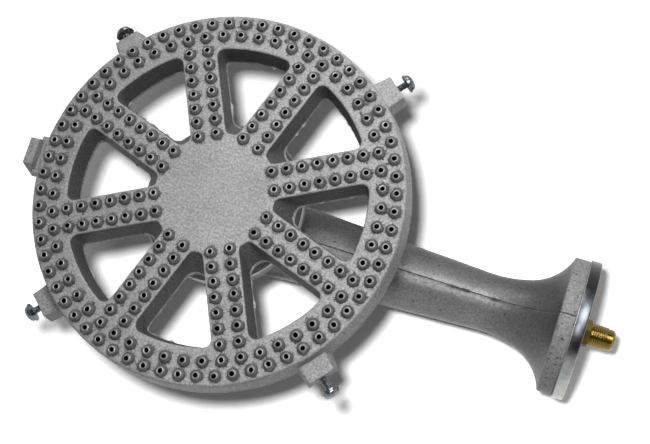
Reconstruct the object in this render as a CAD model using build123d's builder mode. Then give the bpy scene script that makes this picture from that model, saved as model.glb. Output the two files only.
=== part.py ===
"""Cast gas burner: a spoked, drilled head bolted on a venturi with an air shutter and a brass gas inlet."""

import os
from math import atan, cos, degrees, pi, radians, sin, tan

from build123d import *

os.makedirs("parts", exist_ok=True)

# Millimetres and degrees. Z is the head's axis and Z = 0 the plane of the lugs' undersides.
# The venturi runs along +X. Distances along it are measured from the head's axis.

# Head casting
head_bottom_z = 0.5
head_depth = 19.5
head_radius = 126.2
head_edge = 1.4
wall_draft = 7.0
head_turn = 4.5
spoke_count = 8
spoke_width = 24.2
window_radius = 102.0
window_inner_round = 5.6
window_outer_round = 6.0
top_wall = 4.5
bottom_wall = 4.0
side_wall = 4.0

# Hub under the head
hub_lip_radius = 55.5
hub_lip_height = 3.0
hub_lip_z = -6.6
hub_chamber_radius = 36.0
gas_bore_radius = 25.0

# Gas ports: two rings on the rim and two columns along each spoke
outer_ring_radius = 120.0
outer_ring_count = 64
inner_ring_radius = 110.8
inner_ring_count = 56
spoke_port_start = 39.95
spoke_port_pitch = 10.09
spoke_port_rows = 7
spoke_port_columns = 2
spoke_column_gap = 12.68
nipple_base_radius = 4.1
nipple_top_radius = 2.6
nipple_height = 3.4
nipple_sides = 6
port_radius = 1.65
port_sides = 4

# Lugs on the rim
lug_count = 4
lug_reach = 139.6
lug_end_width = 17.5
lug_root_width = 20.0
lug_height = 11.0
rear_lug_offset = -0.8
rear_lip_thickness = 7.0
rear_lip_height = 17.9
rear_lip_top_width = 18.6
rear_lip_base_width = 27.5

# Lug screws and their washers
screw_radius = 2.4
screw_length = 12.7
screw_head_radius = 5.7
screw_head_crown = 2.0
screw_head_height = 3.9
screw_axis_height = 5.5
screw_clearance = 0.05
screw_hole_depth = 13.4
screw_standoffs = (6.8, 4.8, 6.2, 8.8)
lug_washer_radius = 6.6
lug_washer_thickness = 1.0
washer_clearance = 0.15
round_sides = 16
thread_sides = 12

# Joint under the hub
gasket_thickness = 1.6
gasket_inset = 1.5
flange_thickness = 7.0
bolt_count = 4
bolt_circle_radius = 44.0
bolt_radius = 4.0
bolt_length = 19.0
bolt_head_across = 13.0
bolt_head_height = 5.3
bolt_hole_clearance = 0.5
bolt_thread_clearance = 0.05
tapped_depth = 10.2
lock_washer_radius = 6.8
lock_washer_thickness = 2.0

# Venturi casting
venturi_drop = 73.6
elbow_radius = 30.4
taper_end = 180.0
taper_end_radius = 20.6
flare_start = 210.0
flare_start_radius = 24.2
flare_end = 233.0
flare_end_radius = 46.0
rim_radius = 47.8
rim_face = 244.0
throat_start = 187.0
throat_bore_radius = 15.5
bell_start = 212.0
bell_start_bore = 19.0
bell_end = 237.0
mouth_bore_radius = 42.4

# Air shutter at the mouth
air_window_count = 4
air_window_angle = 44.0
air_window_inner = 17.0
air_window_outer = 41.0
face_plate_thickness = 4.0
boss_radius = 13.0
boss_length = 12.0
shutter_radius = 49.0
shutter_wall = 1.5
shutter_depth = 7.2
shutter_edge = 1.0
shutter_gap = 0.3
shutter_play = 0.1
spring_washer_radius = 11.5
spring_washer_thickness = 0.8

# Brass gas inlet and its jet
hex_across = 17.5
hex_length = 4.8
shoulder_radius = 8.0
shoulder_clearance = 0.06
stem_radius = 6.6
stem_clearance = 0.05
flare_thread_radius = 7.94
flare_thread_length = 12.0
nose_radius = 7.2
nose_length = 4.2
nose_chamfer = 1.6
fitting_bore_radius = 2.6
jet_radius = 4.0
jet_clearance = 0.05
jet_socket_depth = 6.0
jet_head_across = 9.5
jet_head_length = 4.5
orifice_radius = 0.7

# Places worked out from the sizes above
head_top_z = head_bottom_z + head_depth
spoke_step = 360 / spoke_count
first_spoke = head_turn + spoke_step / 2
half_spoke_angle = radians(spoke_step / 2)
window_apex = (spoke_width / 2 + window_inner_round) / sin(half_spoke_angle)
hub_top_radius = window_apex - window_inner_round
chamber_floor_z = head_bottom_z + bottom_wall
chamber_roof_z = head_top_z - top_wall
chamber_radius = head_radius - side_wall
lug_root = chamber_radius + side_wall / 2
first_lug = head_turn + spoke_step
rear_lug_angle = head_turn + 180 + rear_lug_offset
rear_lip_inner = lug_reach - rear_lip_thickness
flange_top_z = hub_lip_z - gasket_thickness
flange_bottom_z = flange_top_z - flange_thickness
first_bolt = 180 / bolt_count
axis_z = -venturi_drop
shutter_back = rim_face + shutter_gap
shutter_face = shutter_back + shutter_depth
plate_face = shutter_face - shutter_wall - shutter_play
plate_back = plate_face - face_plate_thickness
register_radius = shutter_radius - shutter_wall - shutter_gap
spring_washer_end = shutter_face + spring_washer_thickness
hex_start = spring_washer_end + shutter_play
hex_end = hex_start + hex_length
flare_thread_end = hex_end + flare_thread_length
nose_end = flare_thread_end + nose_length
stem_end = plate_face - boss_length + shutter_play
jet_head_end = stem_end - jet_head_length
tube_axis = Axis((0, 0, axis_z), (1, 0, 0))
tube_profile_plane = Plane((0, 0, axis_z), x_dir=(1, 0, 0), z_dir=(0, -1, 0))


def tube_plane(distance):
    """Plane across the venturi at a distance from the head's axis, facing outwards."""
    return Plane((distance, 0, axis_z), x_dir=(0, 1, 0), z_dir=(1, 0, 0))


def radial_plane(angle, radius, height):
    """Plane facing outwards from the head's axis, with its own Y upwards."""
    outwards = Vector(cos(radians(angle)), sin(radians(angle)), 0)
    sideways = Vector(-sin(radians(angle)), cos(radians(angle)), 0)
    return Plane(outwards * radius + Vector(0, 0, height), x_dir=sideways, z_dir=outwards)


# Windows between the spokes, drawn at the top face and narrowing downwards by the draft
with BuildPart() as windows:
    with BuildSketch():
        Circle(window_radius)
        with PolarLocations(0, spoke_count // 2, start_angle=first_spoke, angular_range=180):
            Rectangle(2 * head_radius, spoke_width, mode=Mode.SUBTRACT)
        corners = vertices().group_by(lambda corner: Vector(corner).length, tol_digits=3)
        fillet(corners[0], window_inner_round)
        fillet(corners[-1], window_outer_round)
    extrude(amount=head_depth, taper=wall_draft)

# Gas chamber inside the casting: a channel under the rim's ports, one in each spoke and the hub
with BuildPart() as gas_chamber:
    with BuildSketch(Plane.XY.offset(chamber_floor_z)):
        Circle(chamber_radius)
        Circle(window_radius + side_wall, mode=Mode.SUBTRACT)
        with PolarLocations(0, spoke_count // 2, start_angle=first_spoke, angular_range=180):
            Rectangle(window_radius + chamber_radius, spoke_width - 2 * side_wall)
        Circle(hub_chamber_radius)
    extrude(amount=chamber_roof_z - chamber_floor_z)
    with BuildSketch(Plane.XY.offset(hub_lip_z)):
        Circle(gas_bore_radius)
    extrude(amount=chamber_floor_z - hub_lip_z)

# Burner head
with BuildPart() as burner_head:
    with BuildSketch(Plane.XZ):
        with BuildLine():
            Polyline(
                (0, head_bottom_z),
                (head_radius + head_depth * tan(radians(wall_draft)), head_bottom_z),
                (head_radius, head_top_z - head_edge),
                (head_radius - head_edge, head_top_z),
                (0, head_top_z),
                close=True,
            )
        make_face()
    revolve(axis=Axis.Z)
    with Locations((0, 0, head_top_z)):
        add(windows.part.mirror(Plane.XY), mode=Mode.SUBTRACT)
    with BuildSketch(Plane.XZ):
        with BuildLine():
            Polyline(
                (0, hub_lip_z),
                (hub_lip_radius, hub_lip_z),
                (hub_lip_radius, hub_lip_z + hub_lip_height),
                (hub_top_radius, head_top_z),
                (0, head_top_z),
                close=True,
            )
        make_face()
    revolve(axis=Axis.Z)
    with BuildSketch():
        with PolarLocations(0, lug_count, start_angle=first_lug):
            Polygon(
                (lug_root, -lug_root_width / 2),
                (lug_reach, -lug_end_width / 2),
                (lug_reach, lug_end_width / 2),
                (lug_root, lug_root_width / 2),
                align=None,
            )
        with PolarLocations((lug_root + rear_lip_inner) / 2, 1, start_angle=rear_lug_angle):
            Rectangle(rear_lip_inner - lug_root, rear_lip_base_width)
    extrude(amount=lug_height)
    with BuildSketch(radial_plane(rear_lug_angle, rear_lip_inner, 0)):
        Polygon(
            (-rear_lip_base_width / 2, 0),
            (rear_lip_base_width / 2, 0),
            (rear_lip_top_width / 2, rear_lip_height),
            (-rear_lip_top_width / 2, rear_lip_height),
            align=None,
        )
    extrude(amount=rear_lip_thickness)
    add(gas_chamber.part, mode=Mode.SUBTRACT)
    for number in range(lug_count):
        lug_angle = first_lug + number * 360 / lug_count
        with Locations(radial_plane(lug_angle, lug_reach, screw_axis_height)):
            Hole(screw_radius + screw_clearance, screw_hole_depth)
    with Locations(Plane((0, 0, hub_lip_z), z_dir=(0, 0, -1))):
        with PolarLocations(bolt_circle_radius, bolt_count, start_angle=first_bolt):
            Hole(bolt_radius + bolt_thread_clearance, tapped_depth)
    spoke_port_middle = spoke_port_start + spoke_port_pitch * (spoke_port_rows - 1) / 2
    first_inner_port = first_spoke + 180 / inner_ring_count
    port_places = [
        *PolarLocations(outer_ring_radius, outer_ring_count, start_angle=first_spoke),
        *PolarLocations(inner_ring_radius, inner_ring_count, start_angle=first_inner_port),
    ]
    for spoke in PolarLocations(spoke_port_middle, spoke_count, start_angle=first_spoke):
        for place in GridLocations(spoke_port_pitch, spoke_column_gap, spoke_port_rows, spoke_port_columns):
            port_places.append(spoke * place)
    nipple_lean = (nipple_base_radius - nipple_top_radius) * cos(pi / nipple_sides)
    nipple_taper = degrees(atan(nipple_lean / nipple_height))
    with BuildSketch(Plane.XY.offset(head_top_z)):
        with Locations(*port_places):
            RegularPolygon(nipple_base_radius, nipple_sides)
    extrude(amount=nipple_height, taper=nipple_taper)
    with BuildSketch(Plane.XY.offset(head_top_z + nipple_height)):
        with Locations(*port_places):
            RegularPolygon(port_radius, port_sides)
    extrude(amount=-nipple_height - top_wall, mode=Mode.SUBTRACT)
burner_head.part.label = "burner_head"
export_step(burner_head.part, "parts/burner_head.step")

# Ring gasket between the hub's lip and the flange, inside the bolts
with BuildPart() as hub_gasket:
    with BuildSketch(Plane.XY.offset(flange_top_z)):
        Circle(bolt_circle_radius - bolt_radius - gasket_inset)
        Circle(gas_bore_radius, mode=Mode.SUBTRACT)
    extrude(amount=gasket_thickness)
hub_gasket.part.label = "hub_gasket"
export_step(hub_gasket.part, "parts/hub_gasket.step")

# Air windows, the same in the venturi's face plate and in the shutter when it stands open
with BuildSketch() as air_windows:
    with BuildLine():
        half_window = air_window_angle / 2
        inner_arc = CenterArc((0, 0), air_window_inner, -half_window, air_window_angle)
        outer_arc = CenterArc((0, 0), air_window_outer, -half_window, air_window_angle)
        Line(inner_arc @ 0, outer_arc @ 0)
        Line(inner_arc @ 1, outer_arc @ 1)
    window_face = make_face(mode=Mode.PRIVATE)
    with PolarLocations(0, air_window_count, start_angle=180 / air_window_count):
        add(window_face)

# Venturi casting: flange, elbow, tapered tube, bell mouth, and the face plate with its boss
with BuildPart() as venturi:
    with BuildSketch(Plane.XY.offset(flange_bottom_z)):
        Circle(hub_lip_radius)
        with PolarLocations(bolt_circle_radius, bolt_count, start_angle=first_bolt):
            Circle(bolt_radius + bolt_hole_clearance, mode=Mode.SUBTRACT)
    extrude(amount=flange_thickness)
    with BuildSketch(Plane.XY.offset(axis_z)):
        Circle(elbow_radius)
    extrude(amount=flange_bottom_z - axis_z)
    with Locations((0, 0, axis_z)):
        Sphere(elbow_radius)
    with BuildSketch(tube_profile_plane):
        with BuildLine():
            taper_line = Line((0, elbow_radius), (taper_end, taper_end_radius))
            throat_arc = TangentArc(
                (taper_end, taper_end_radius), (flare_start, flare_start_radius), tangent=taper_line % 1
            )
            TangentArc(
                (flare_start, flare_start_radius), (flare_end, flare_end_radius), tangent=throat_arc % 1
            )
            Polyline(
                (flare_end, flare_end_radius),
                (flare_end, rim_radius),
                (rim_face, rim_radius),
                (rim_face, register_radius),
                (plate_face, register_radius),
                (plate_face, 0),
                (0, 0),
                (0, elbow_radius),
            )
        make_face()
    revolve(axis=tube_axis)
    with BuildSketch(tube_profile_plane):
        with BuildLine():
            Polyline(
                (0, 0),
                (0, gas_bore_radius),
                (throat_start, throat_bore_radius),
                (bell_start, bell_start_bore),
                (bell_end, mouth_bore_radius),
                (plate_back, mouth_bore_radius),
                (plate_back, 0),
                close=True,
            )
        make_face()
    revolve(axis=tube_axis, mode=Mode.SUBTRACT)
    with BuildSketch(Plane.XY.offset(axis_z)):
        Circle(gas_bore_radius)
    extrude(amount=flange_top_z - axis_z, mode=Mode.SUBTRACT)
    with BuildSketch(tube_plane(plate_back)):
        add(air_windows.sketch)
    extrude(amount=face_plate_thickness, mode=Mode.SUBTRACT)
    with BuildSketch(tube_plane(plate_face)):
        Circle(boss_radius)
    extrude(amount=-boss_length)
    with BuildSketch(tube_plane(plate_face)):
        Circle(stem_radius + stem_clearance)
    extrude(amount=-boss_length, mode=Mode.SUBTRACT)
venturi.part.label = "venturi"
export_step(venturi.part, "parts/venturi.step")

# Air shutter: a pressed cap that turns on the fitting's shoulder over the face plate
with BuildPart() as air_shutter:
    with BuildSketch(tube_profile_plane):
        with BuildLine():
            Polyline(
                (shutter_face - shutter_wall, 0),
                (shutter_face - shutter_wall, shutter_radius - shutter_wall),
                (shutter_back, shutter_radius - shutter_wall),
                (shutter_back, shutter_radius),
                (shutter_face - shutter_edge, shutter_radius),
                (shutter_face, shutter_radius - shutter_edge),
                (shutter_face, 0),
                close=True,
            )
        make_face()
    revolve(axis=tube_axis)
    with BuildSketch(tube_plane(shutter_face)):
        Circle(shoulder_radius + shoulder_clearance)
        add(air_windows.sketch)
    extrude(amount=-shutter_wall, mode=Mode.SUBTRACT)
air_shutter.part.label = "air_shutter"
export_step(air_shutter.part, "parts/air_shutter.step")

# Spring washer that presses the shutter on the face plate
with BuildPart() as shutter_spring_washer:
    with BuildSketch(tube_plane(shutter_face)):
        RegularPolygon(spring_washer_radius, round_sides)
        washer_hole = shoulder_radius + washer_clearance
        RegularPolygon(washer_hole, round_sides, major_radius=False, mode=Mode.SUBTRACT)
    extrude(amount=spring_washer_thickness)
shutter_spring_washer.part.label = "shutter_spring_washer"
export_step(shutter_spring_washer.part, "parts/shutter_spring_washer.step")

# Brass gas inlet: stem in the boss, shoulder through the shutter, hexagon, flare thread and nose
with BuildPart() as gas_inlet_fitting:
    with BuildSketch(tube_profile_plane):
        with BuildLine():
            Polyline(
                (stem_end, 0),
                (stem_end, stem_radius),
                (plate_face, stem_radius),
                (plate_face, shoulder_radius),
                (hex_start, shoulder_radius),
                (hex_end, flare_thread_radius),
                (flare_thread_end, flare_thread_radius),
                (flare_thread_end, nose_radius),
                (nose_end - nose_chamfer, nose_radius),
                (nose_end, nose_radius - nose_chamfer),
                (nose_end, 0),
                close=True,
            )
        make_face()
    revolve(axis=tube_axis)
    with BuildSketch(tube_plane(hex_start)):
        RegularPolygon(hex_across / 2, 6, major_radius=False)
    extrude(amount=hex_length)
    with BuildSketch(tube_plane(nose_end)):
        Circle(fitting_bore_radius)
    extrude(amount=stem_end - nose_end, mode=Mode.SUBTRACT)
    with BuildSketch(tube_plane(stem_end)):
        Circle(jet_radius + jet_clearance)
    extrude(amount=jet_socket_depth, mode=Mode.SUBTRACT)
gas_inlet_fitting.part.label = "gas_inlet_fitting"
export_step(gas_inlet_fitting.part, "parts/gas_inlet_fitting.step")

# Jet screwed into the fitting's inner end
with BuildPart() as orifice_jet:
    with BuildSketch(tube_plane(jet_head_end)):
        RegularPolygon(jet_head_across / 2, 6, major_radius=False)
    extrude(amount=jet_head_length)
    with BuildSketch(tube_plane(stem_end)):
        RegularPolygon(jet_radius, thread_sides)
    extrude(amount=jet_socket_depth)
    with BuildSketch(tube_plane(jet_head_end)):
        RegularPolygon(orifice_radius, thread_sides)
    extrude(amount=jet_head_length + jet_socket_depth, mode=Mode.SUBTRACT)
orifice_jet.part.label = "orifice_jet"
export_step(orifice_jet.part, "parts/orifice_jet.step")


def flange_bolt(angle):
    """Hexagon bolt under the flange, with its shank up into the hub."""
    x = bolt_circle_radius * cos(radians(angle))
    y = bolt_circle_radius * sin(radians(angle))
    seat = Plane((x, y, flange_bottom_z - lock_washer_thickness))
    with BuildPart() as bolt:
        with BuildSketch(seat):
            RegularPolygon(bolt_head_across / 2, 6, major_radius=False, rotation=angle)
        extrude(amount=-bolt_head_height)
        with BuildSketch(seat):
            RegularPolygon(bolt_radius, thread_sides)
        extrude(amount=bolt_length)
    return bolt.part


def flange_lock_washer(angle):
    """Lock washer between a flange bolt's head and the flange."""
    x = bolt_circle_radius * cos(radians(angle))
    y = bolt_circle_radius * sin(radians(angle))
    with BuildPart() as washer:
        with BuildSketch(Plane((x, y, flange_bottom_z))):
            RegularPolygon(lock_washer_radius, round_sides)
            washer_hole = bolt_radius + washer_clearance
            RegularPolygon(washer_hole, round_sides, major_radius=False, mode=Mode.SUBTRACT)
        extrude(amount=-lock_washer_thickness)
    return washer.part


def lug_screw(angle, standoff):
    """Crowned screw in a lug, standing out from it by the standoff."""
    head_seat = radial_plane(angle, lug_reach + standoff + lug_washer_thickness, screw_axis_height)
    with BuildPart() as screw:
        with BuildSketch(head_seat):
            RegularPolygon(screw_head_radius, round_sides)
        extrude(amount=screw_head_height)
        crown = faces().sort_by(Axis((0, 0, 0), head_seat.z_dir))[-1]
        chamfer(crown.edges(), screw_head_crown)
        with BuildSketch(head_seat):
            RegularPolygon(screw_radius, thread_sides)
        extrude(amount=-screw_length)
    return screw.part


def lug_washer(angle, standoff):
    """Washer held under a lug screw's head."""
    with BuildPart() as washer:
        with BuildSketch(radial_plane(angle, lug_reach + standoff, screw_axis_height)):
            RegularPolygon(lug_washer_radius, round_sides)
            washer_hole = screw_radius + washer_clearance
            RegularPolygon(washer_hole, round_sides, major_radius=False, mode=Mode.SUBTRACT)
        extrude(amount=lug_washer_thickness)
    return washer.part


fasteners = {}
for number in range(bolt_count):
    bolt_angle = first_bolt + number * 360 / bolt_count
    fasteners[f"flange_bolt_{number + 1}"] = flange_bolt(bolt_angle)
    fasteners[f"flange_lock_washer_{number + 1}"] = flange_lock_washer(bolt_angle)
for number, standoff in enumerate(screw_standoffs):
    lug_angle = first_lug + number * 360 / lug_count
    fasteners[f"lug_screw_{number + 1}"] = lug_screw(lug_angle, standoff)
    fasteners[f"lug_washer_{number + 1}"] = lug_washer(lug_angle, standoff)
for name, piece in fasteners.items():
    piece.label = name
    export_step(piece, f"parts/{name}.step")
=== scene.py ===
"""Looks of the cast iron gas burner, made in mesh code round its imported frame."""

import math
import random

import bmesh
import bpy
import numpy as np
from mathutils import Euler, Matrix, Vector, geometry, noise


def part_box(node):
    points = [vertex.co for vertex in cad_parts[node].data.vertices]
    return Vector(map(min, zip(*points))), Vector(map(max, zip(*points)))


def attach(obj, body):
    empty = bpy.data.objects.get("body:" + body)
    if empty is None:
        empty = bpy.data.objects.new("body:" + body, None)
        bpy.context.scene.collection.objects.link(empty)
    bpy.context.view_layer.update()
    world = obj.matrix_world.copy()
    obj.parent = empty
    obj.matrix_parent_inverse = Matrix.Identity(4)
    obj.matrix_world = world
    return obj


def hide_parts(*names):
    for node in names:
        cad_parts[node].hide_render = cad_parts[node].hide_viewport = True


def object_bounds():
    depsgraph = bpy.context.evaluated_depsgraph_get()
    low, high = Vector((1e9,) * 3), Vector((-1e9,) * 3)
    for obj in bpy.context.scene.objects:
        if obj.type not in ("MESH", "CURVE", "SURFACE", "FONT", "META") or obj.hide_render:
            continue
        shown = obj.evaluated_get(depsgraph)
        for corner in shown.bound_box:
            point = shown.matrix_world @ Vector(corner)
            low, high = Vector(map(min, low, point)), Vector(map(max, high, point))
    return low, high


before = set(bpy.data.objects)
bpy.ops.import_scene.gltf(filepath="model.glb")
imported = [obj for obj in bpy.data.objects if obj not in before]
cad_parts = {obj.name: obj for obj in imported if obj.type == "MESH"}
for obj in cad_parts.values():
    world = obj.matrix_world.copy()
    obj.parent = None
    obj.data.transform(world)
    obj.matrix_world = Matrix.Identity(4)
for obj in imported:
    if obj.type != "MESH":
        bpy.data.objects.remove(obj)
cad_low, cad_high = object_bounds()

MM = 0.001
random.seed(7)

# Places read from the frame, in millimetres
_, head_high = (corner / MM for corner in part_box("burner_head"))
shutter_low, shutter_high = (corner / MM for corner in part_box("air_shutter"))
fitting_low, fitting_high = (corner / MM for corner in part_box("gas_inlet_fitting"))
gasket_low, gasket_high = (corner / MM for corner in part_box("hub_gasket"))
bolt_washer_low, bolt_washer_high = (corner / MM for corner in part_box("flange_lock_washer_1"))
spring_low, spring_high = (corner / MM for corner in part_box("shutter_spring_washer"))

# Head casting, in millimetres and degrees
nipple_height = 3.4
head_top = head_high.z - nipple_height
head_bottom = 0.5
head_depth = head_top - head_bottom
head_radius = 126.2
head_edge = 1.4
wall_draft = math.tan(math.radians(7.0))
head_turn = 4.5
spoke_count = 8
spoke_step = 360 / spoke_count
first_spoke = head_turn + spoke_step / 2
spoke_turns = [first_spoke + n * spoke_step for n in range(spoke_count)]
spoke_width = 24.2
window_turns = [head_turn + n * spoke_step for n in range(spoke_count)]
window_radius = 102.0
window_inner_round = 5.6
window_outer_round = 6.0
window_least_round = 2.0
window_hub_round = 5.0
window_hub_round_growth = 0.35
window_centre = 76.0
window_reach = 70.0
window_points = 144
window_halvings = 40
window_edge = 1.2
hub_top_radius = 40.65
hub_lip_radius = 55.5
hub_lip_top = -3.6
hub_lip_bottom = gasket_high.z
hub_lip_edge = 0.35
hub_lip_root = [(0.5, 0.4), (0.0, 0.3)]
skirt_top = 2.0
skirt_top_inset = 1.6
skirt_room = 0.05
skirt_knee = -1.6

# Window wall: its rounded top edge in degrees, depths down the wall, and its flash, as heights above the
# underside with the share of flash at each, which is below zero where the wall steps back
edge_degrees = (0, 25, 50, 75)
wall_depths = (1.6, 4.0, 7.0, 10.0, 13.0, 15.5)
flash_levels = [(2.6, 0.0), (1.8, 1.0), (1.3, 1.0), (0.6, 0.15), (0.0, -0.6)]
flash_scale = 0.16
flash_width = 2.6
flash_least = 0.02
flash_fine_scale = 4.0
flash_fine_width = 0.9
flash_fine_least = 0.25

# Rim wall: depths with the spread of its rounded top edge, and depths of its sloping part
rim_points = 288
rim_edge_levels = [(0.0, -head_edge), (0.2, -0.75), (0.6, -0.25), (1.4, 0.05)]
rim_depths = (4.0, 7.0, 9.4, 10.0, 13.0, 16.0, 18.3)
bottom_edge = 1.0
bottom_radius = head_radius + head_depth * wall_draft - bottom_edge

# Points on the flat faces: steps of their grids and, as shares of a step, a row's height, how far a point
# strays and how far it stays from an outline
top_grid = 1.7
bottom_grid = 5.0
grid_row = 0.866
grid_jitter = 0.2
grid_margin = 0.6

# Depth of the cast skin's grain, and the scale, shift and share of each layer in it
face_grain = 0.16
rim_grain = 0.18
lug_grain = 0.16
tube_grain = 0.2
crumb_grain = 0.3
grain_layers = [(0.12, (0, 0, 0), 0.5), (0.37, (7, 3, 1), 0.6), (0.9, (1, 9, 4), 0.5)]

# Finishes of the castings and of the inlet, by their place in a piece's list of materials
# The dark wall iron, the shade round the ports' feet and the black of the bores are painted shade
CAST, NIPPLE, MACHINED, BORE, SHADED, CROWN, FOOT_SHADE = range(7)
BRASS, BRASS_BORE = range(2)

# Gas ports: two rings on the rim and two columns on each spoke
outer_ring_radius = 120.0
outer_ring_count = 64
inner_ring_radius = 110.8
inner_ring_count = 56
spoke_port_start = 39.95
spoke_port_pitch = 10.09
spoke_port_rows = 7
spoke_column_gap = 12.68
port_hole = 1.56
port_hole_spread = 0.08
port_drift = 0.25
port_depth = 5.0

# Nipple, the raised part of a port: its uneven foot, how it differs from the next, shares of its height with
# the finish above each, how near it comes to a full dome, and the radius and depth of its crown's worn hollow
nipple_base = 4.25
nipple_foot_limit = 4.5
nipple_sides = 20
nipple_turns = [2 * math.pi * n / nipple_sides for n in range(nipple_sides)]
foot_unevenness = 0.2
foot_sample = 1.4
foot_scale = 0.83
nipple_sink = 0.25
nipple_lean = 0.22
nipple_grain = 0.16
nipple_grain_sample = 3
# The foot ring takes the iron with painted shade; the sides take the nipple iron, which is darker partly in
# its own tone and partly by painted shade
nipple_levels = [(0.0, SHADED), (0.1, NIPPLE), (0.24, NIPPLE), (0.42, NIPPLE), (0.62, NIPPLE)]
nipple_levels += [(0.8, NIPPLE), (0.88, NIPPLE), (0.93, CROWN), (0.97, CROWN), (1.0, CROWN)]
nipple_dome = 0.88
crown_radius = 1.8
crown_depth = 0.2

# Painted shade round the ports' feet
foot_shade_reach = 0.75
foot_shade_unevenness = 1.5
foot_shade_scale = 0.31

# Lumps of sand skin on the top face: place and radius of the large ones, and the small ones at ports' feet
large_crumbs = [(10.5, 114.1, 2.0), (77.4, 85.8, 1.4), (74.2, 87.1, 1.1), (82.5, 80.7, 1.4)]
large_crumbs += [(75.6, 78.8, 1.1), (62.9, 95.6, 1.0)]
crumb_share = 0.4
crumb_sizes = (0.5, 1.1)
crumb_flatness = 0.5
crumb_degrees = (-90, -45, 0, 25, 50, 70, 90)

# Lugs
lug_count = 4
lug_turns = [head_turn + spoke_step + n * 360 / lug_count for n in range(lug_count)]
lug_reach = 139.6
lug_root = head_radius - 3.0
lug_end_width = 17.5
lug_root_width = 20.0
lug_height = 11.0
lug_draft = 2.5
lug_edge = 0.6
lug_edge_share = 0.3
lug_corner = 1.4 * lug_edge
lug_step = 2.0
lug_outline_step = 1.6
lug_end_room = 0.2
rear_lug_offset = -0.8
rear_lip_thickness = 7.0
rear_lip_height = 17.9
rear_lip_top_width = 18.6
rear_lip_base_width = 27.5
rear_lap = 2.0

# Lug screws and their washers, with each screw's distance from its lug and the turn of its slot
screw_axis_height = 5.5
screw_standoffs = (6.8, 4.8, 6.2, 8.8)
screw_slot_turns = (20, 65, 100, 40)
screw_radius = 2.4
screw_pitch = 25.4 / 24
screw_thread_depth = 0.3
screw_neck = 0.8
screw_point = 0.5
screw_point_radius = 1.7
screw_length = 12.2
screw_hole_radius = 2.55
screw_hole_depth = 11.2
screw_head_radius = 5.7
screw_head_height = 3.9
screw_head_rim = 1.0
screw_head_edge = 0.25
screw_dome_power = 0.8
slot_width = 1.3
slot_depth = 1.5
slot_overrun = 1.0
lug_washer_radius = 6.6
lug_washer_thickness = 1.0
washer_bore_gap = 0.15
washer_room = 0.04
washer_edge = 0.15

# Venturi casting, measured along its own axis from the head's axis
axis_z = (shutter_low.z + shutter_high.z) / 2
flange_top = gasket_low.z
flange_bottom = bolt_washer_high.z
flange_top_edge = 0.6
flange_edge = 1.0
flange_fillet = [(0.0, 36.6), (1.4, 33.2), (3.2, 31.2), (6.0, 30.2)]
riser_levels = (flange_bottom - 3.0, -22.0, -27.0, -31.0)
elbow_radius = 30.4
elbow_bend = 40.0
elbow_steps = 15
elbow_fillet = 9.0
elbow_reach = 75.0
elbow_halvings = 26
taper_end = 180.0
taper_end_radius = 20.6
taper_slope = (taper_end_radius - elbow_radius) / taper_end
flare_start = 210.0
flare_start_radius = 24.2
flare_end = 233.0
flare_end_radius = 46.0
coarse_row = 2.4
fine_row = 1.2
fine_rows_from = 110.0
rim_radius = 47.8
rim_edge = 0.7
rim_edge_width = 0.8
rim_root = (0.4, 0.5)
rim_rows = (1.0, 3.0, 5.5, 8.0)
rim_face = shutter_low.x - 0.3
register_radius = 47.2
register_edge = 0.5
mouth_bore = 42.4
bell_inside = [(237.0, mouth_bore), (229.0, 34.9), (220.5, 27.0), (212.0, 19.0), (200.0, 16.8), (187.0, 15.5)]
throat_end = 120.0
throat_end_radius = 18.9
plate_face = shutter_high.x - 1.6
plate_thickness = 4.0
plate_edge = 0.4
boss_radius = 13.0
boss_length = 12.0
boss_edge = 0.8
boss_lap = 1.0

# Mould seam along the tube's top and bottom: degrees that it strays, millimetres to a degree, the height,
# middle and width of its groove, its ridge, its flash and the stretch with most flash, and where it starts
seam_stray = 0.5
seam_degree = 0.42
seam_groove = (0.42, 0.0, 0.3)
seam_ridge = (0.34, -0.75, 0.42)
seam_flash = (2.2, -0.5, 0.5)
seam_flash_stretch = (1.0, 176.0, 32.0)
seam_start = 36.0
seam_run_in = 12.0
seam_flash_least = 0.05

# Scale and layer of the noise that sets the seam's stray, ridge and flash, and the width of its dark line of
# painted shade
stray_wave = (0.05, 3.0, 0.0)
ridge_wave = (0.11, 0.0, 8.0)
flash_wave = (0.35, 1.0, 5.5)
seam_shade_wave = (0.3, 4.0, 1.0)

# Dark line of painted shade beside the seam: half its width in degrees, how that varies and grows at flash,
# and its middle
seam_shade_half = 0.6
seam_shade_spread = 0.9
seam_shade_at_flash = 5.0
seam_shade_middle = -0.25

# Air shutter and the plate behind it, with the rings of points on their faces, and the spring washer
air_window_count = 4
air_window_step = 360 / air_window_count
first_air_window = 45.0
air_window_angle = 44.0
air_window_inner = 17.0
air_window_outer = 41.0
disc_sides = 180
shutter_radius = (shutter_high.z - shutter_low.z) / 2
shutter_wall = 1.5
shutter_corner = 1.0
shutter_edge = 0.25
skirt_middle = 3.0
shoulder_radius = 8.0
stem_radius = 6.6
shutter_rings = [shoulder_radius + 0.06, 11.0, 14.0, 20.0, 29.0, 38.0, 45.0, shutter_radius - shutter_corner]
plate_rings = [stem_radius + 0.05, 10.0, 13.0, 25.0, 34.0, register_radius - register_edge]
spring_washer_radius = 11.5
spring_washer_thickness = 0.8

# Gas inlet fitting
hex_across = 17.5
hex_start = spring_high.x + 0.1
hex_length = 4.8
hex_turn = 30.0
hex_chamfer = 0.7
flare_thread_radius = 7.94
flare_thread_length = 12.0
flare_thread_pitch = 25.4 / 18
flare_thread_depth = 0.14
flare_thread_gap = 0.9
flare_neck_radius = 6.94
flare_neck_root = (0.4, 0.2)
nose_radius = 7.2
nose_groove = 0.35
nose_groove_levels = (-0.6, 0.1, 0.35)
nose_tip = (0.15, 0.2)
nose_chamfer = 1.6
fitting_bore = 2.6
fitting_bore_edge = 0.5
fitting_bore_depth = 14.0

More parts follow.
